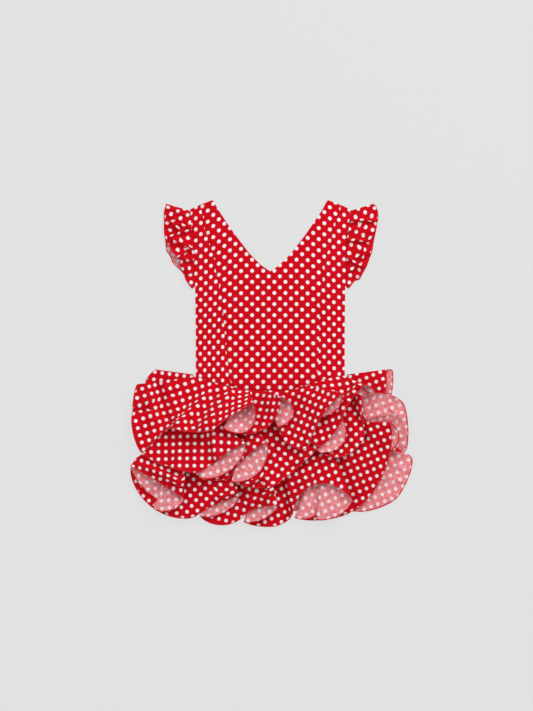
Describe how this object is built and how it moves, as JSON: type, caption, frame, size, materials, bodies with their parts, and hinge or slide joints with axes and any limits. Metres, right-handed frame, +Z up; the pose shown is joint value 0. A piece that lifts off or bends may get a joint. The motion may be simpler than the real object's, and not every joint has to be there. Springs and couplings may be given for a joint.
{
  "type": "child's flamenco dress",
  "caption": "Sleeveless child's dress laid flat on its back, with a V neck, gathered shoulder frills, princess seams and a skirt of tiered gathered ruffles in dotted cotton.",
  "frame": {"origin": "on the table under the centre of the dress's outline", "axes": "+Z up from the table, +Y towards the neck, +X towards the right of a viewer who looks down with the neck at the top"},
  "size_m": [0.4924, 0.5704, 0.068],
  "materials": {
    "dotted_cotton": "matt woven cotton, red with small white dots; the wrong side is pink with faded dots",
    "base_cotton": "matt woven cotton, plain red"
  },
  "bodies": {
    "root": {"back_bodice": "dotted_cotton", "front_centre": "dotted_cotton", "front_side_left": "dotted_cotton", "front_side_right": "dotted_cotton", "frill_left": "dotted_cotton", "frill_right": "dotted_cotton", "skirt_base_front": "base_cotton", "skirt_base_back": "base_cotton", "tier_1_front": "dotted_cotton", "tier_2_front": "dotted_cotton", "tier_3_front": "dotted_cotton", "tier_1_back": "dotted_cotton", "tier_2_back": "dotted_cotton", "tier_3_back": "dotted_cotton"}
  },
  "joints": []
}
